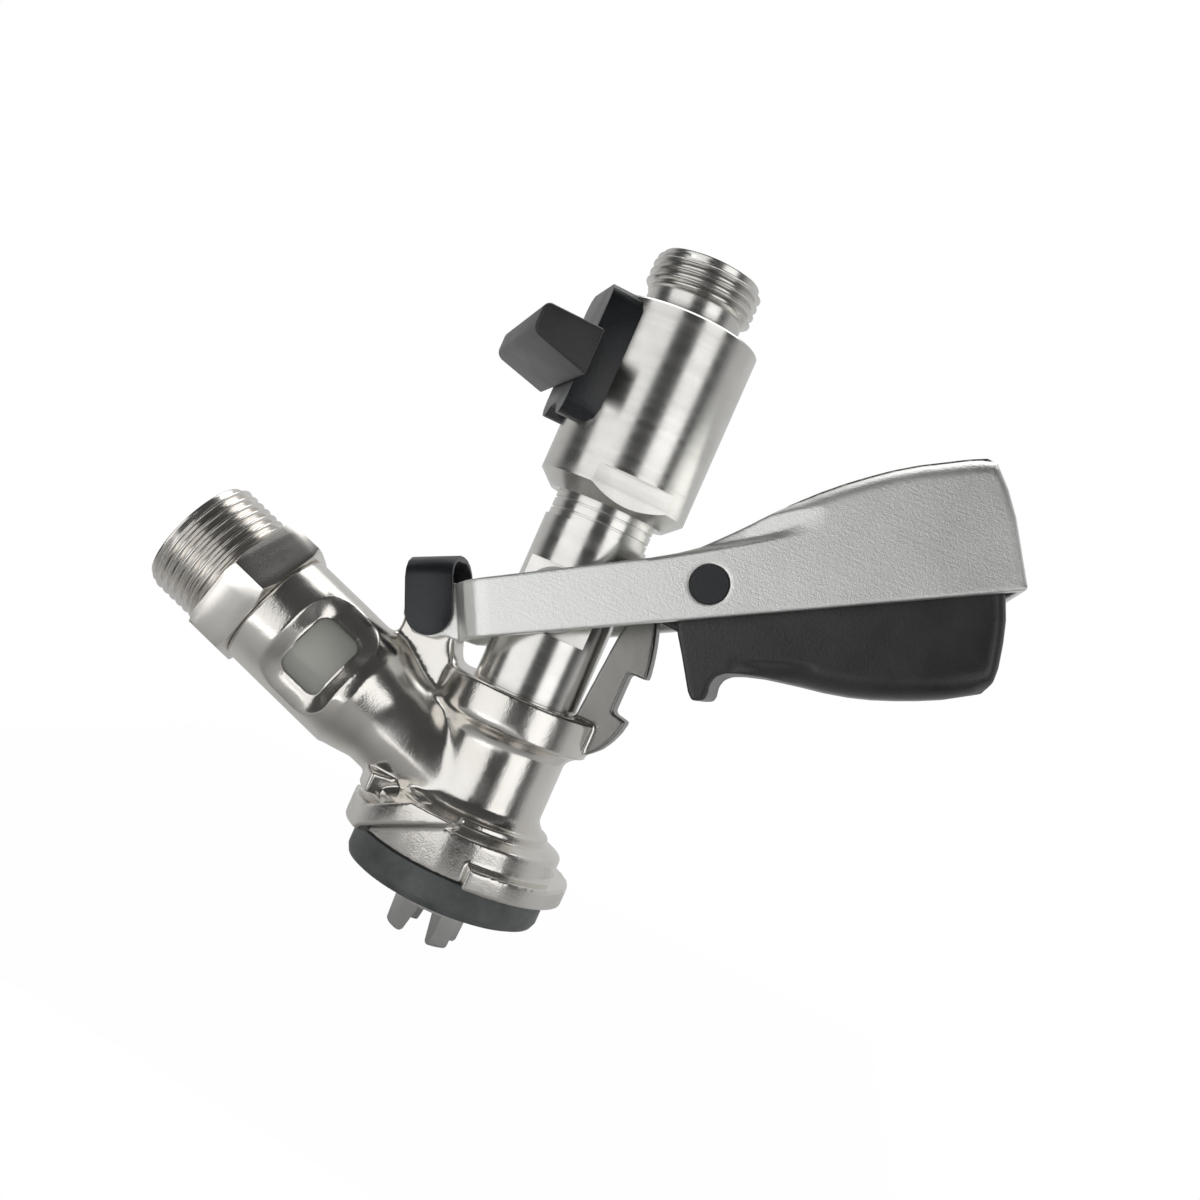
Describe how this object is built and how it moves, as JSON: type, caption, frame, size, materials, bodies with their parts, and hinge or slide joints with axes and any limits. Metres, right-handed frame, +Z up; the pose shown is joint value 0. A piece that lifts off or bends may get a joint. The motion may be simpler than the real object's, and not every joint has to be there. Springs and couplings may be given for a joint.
{
  "type": "keg coupler",
  "caption": "Bayonet keg coupler with a lever-driven probe, spring-latched trigger, sloping threaded gas arm with a sight window, and a ball valve with a threaded outlet on top.",
  "frame": {"origin": "centre of the base gasket's lower face, where the coupler seats on the keg spear", "axes": "+Z up the main axis to the outlet, +X towards the lever's grip, -Y towards the side with the gas arm's window"},
  "size_m": [0.1588, 0.0568, 0.1452],
  "materials": {
    "nickel": "satin nickel plate over cast brass",
    "steel": "lathe-turned stainless steel",
    "lever_cast": "blasted satin casting",
    "ball_steel": "polished",
    "grip": "fine grained moulding",
    "clip": "moulded",
    "shoe": "low-friction plastic",
    "gasket": "dusty food-grade rubber",
    "seal": "matt",
    "lip": "pale silicone",
    "clear": "clear plastic sleeve"
  },
  "bodies": {
    "body": {"coupler_body": "nickel", "base_gasket": "gasket", "collar_oring": "seal", "hinge_pin": "ball_steel", "sight_sleeve": "clear", "sleeve_seal_inner": "seal", "sleeve_seal_outer": "seal", "gas_lip_valve": "lip", "gas_inlet_fitting": "steel"},
    "lever": {"lever": "lever_cast", "trigger_pin": "clip", "drive_shoe_front": "shoe", "drive_shoe_rear": "shoe", "hinge_clip": "clip"},
    "trigger": {"trigger": "grip", "trigger_spring": "ball_steel"},
    "stem": {"stem": "steel", "probe_tip": "steel", "probe_seal": "gasket", "valve_body": "steel", "spindle_oring": "seal", "valve_seat_lower": "shoe", "valve_seat_upper": "shoe", "outlet_fitting": "steel", "valve_saddle": "grip"},
    "knob": {"valve_ball": "ball_steel", "knob_spindle": "ball_steel", "valve_knob": "grip"},
    "check_ball": {"check_ball": "ball_steel"}
  },
  "joints": [
    {"name": "lever_pivot", "type": "hinge", "parent": "body", "child": "lever", "pos_m": [-0.0235, 0, 0.0501], "axis": [0, 1, 0], "range_deg": [0, 24]},
    {"name": "stem_slide", "type": "slide", "parent": "body", "child": "stem", "axis": [0, 0, -1], "range_m": [0, 0.0108]},
    {"name": "trigger_pivot", "type": "hinge", "parent": "lever", "child": "trigger", "pos_m": [0.02697, 0, 0.07659], "axis": [0, -1, 0], "range_deg": [0, 12], "stiffness_Nm_per_rad": 0.1, "springref_deg": -17.19},
    {"name": "knob_turn", "type": "hinge", "parent": "stem", "child": "knob", "pos_m": [0, 0, 0.1069], "axis": [-0.8988, -0.4384, 0], "range_deg": [0, 90]},
    {"name": "check_ball_lift", "type": "slide", "parent": "stem", "child": "check_ball", "axis": [0, 0, 1], "range_m": [0, 0.004]}
  ],
  "couplings": [
    {"joint": "stem_slide", "follows": "lever_pivot", "m_per_rad": 0.0253}
  ]
}
